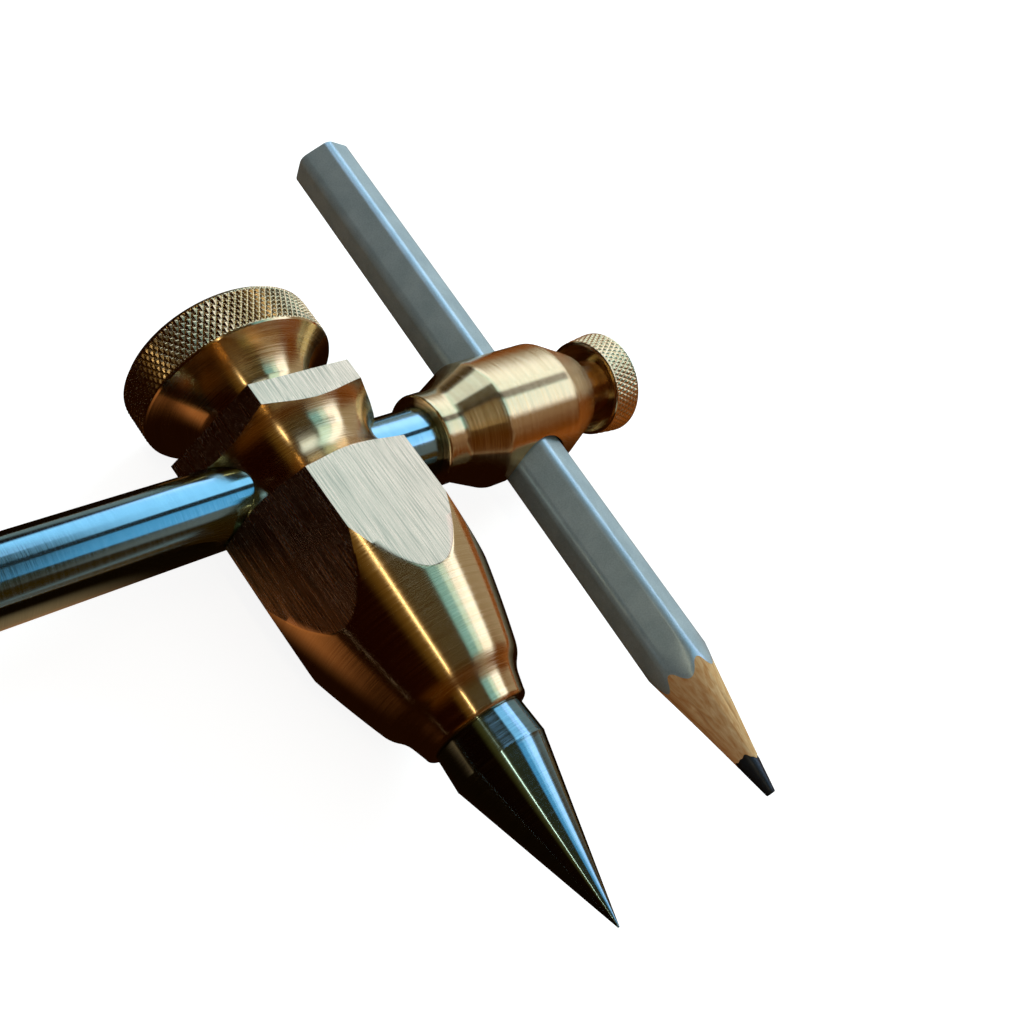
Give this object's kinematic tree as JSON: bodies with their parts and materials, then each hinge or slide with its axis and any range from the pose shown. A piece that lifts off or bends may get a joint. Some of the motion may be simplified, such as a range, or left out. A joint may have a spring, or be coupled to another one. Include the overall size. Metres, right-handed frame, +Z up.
{
  "type": "beam compass",
  "caption": "Beam compass: a hexagonal brass head with a steel point slides on a round steel beam; a brass holder on the beam's end carries a pencil.",
  "frame": {"origin": "tip of the steel point, the centre of the circles it draws", "axes": "+X along the beam towards the pencil, +Y along the head from its point to its clamp knob, +Z up, square to the flat of the head that faces up as the compass lies on its side"},
  "size_m": [0.3232, 0.0936, 0.0216],
  "materials": {
    "brass": "turned and brushed, bright",
    "steel": "ground",
    "dark_steel": "blackened",
    "graphite": "graphite",
    "pencil_wood": "bare cut wood",
    "silver_lacquer": "metallic paint"
  },
  "bodies": {
    "beam": {"beam_rod": "steel"},
    "head": {"head_body": "brass", "steel_point": "steel"},
    "clamp_shoe": {"clamp_shoe": "brass"},
    "clamp_screw": {"clamp_knob": "brass", "clamp_stud": "steel"},
    "holder": {"holder_body": "brass", "set_screw": "dark_steel"},
    "thumb_shoe": {"thumb_shoe": "brass"},
    "thumb_screw": {"thumb_knob": "brass", "thumb_stud": "steel"},
    "pencil": {"pencil_lead": "graphite", "pencil_wood": "pencil_wood", "pencil_lacquer": "silver_lacquer"}
  },
  "joints": [
    {"name": "head_slide", "type": "slide", "parent": "beam", "child": "head", "axis": [1, 0, 0], "range_m": [-0.262, 0.003]},
    {"name": "clamp_travel", "type": "slide", "parent": "head", "child": "clamp_shoe", "axis": [0, 1, 0], "range_m": [0, 0.003]},
    {"name": "clamp_turn", "type": "hinge", "parent": "clamp_shoe", "child": "clamp_screw", "pos_m": [0, 0.05255, 0], "axis": [0, 1, 0], "range_deg": [0, 1080]},
    {"name": "holder_turn", "type": "hinge", "parent": "beam", "child": "holder", "pos_m": [0.0277, 0.05255, 0], "axis": [1, 0, 0], "continuous": true},
    {"name": "thumb_travel", "type": "slide", "parent": "holder", "child": "thumb_shoe", "axis": [1, 0, 0], "range_m": [0, 0.002]},
    {"name": "thumb_turn", "type": "hinge", "parent": "thumb_shoe", "child": "thumb_screw", "pos_m": [0.042, 0.05255, 0], "axis": [1, 0, 0], "range_deg": [0, 900]},
    {"name": "pencil_slide", "type": "slide", "parent": "holder", "child": "pencil", "axis": [0, 0.9979, 0.0654], "range_m": [-0.03, 0.02]}
  ],
  "couplings": [
    {"joint": "clamp_turn", "follows": "clamp_travel", "rad_per_m": 6283.2},
    {"joint": "thumb_turn", "follows": "thumb_travel", "rad_per_m": 7854}
  ]
}
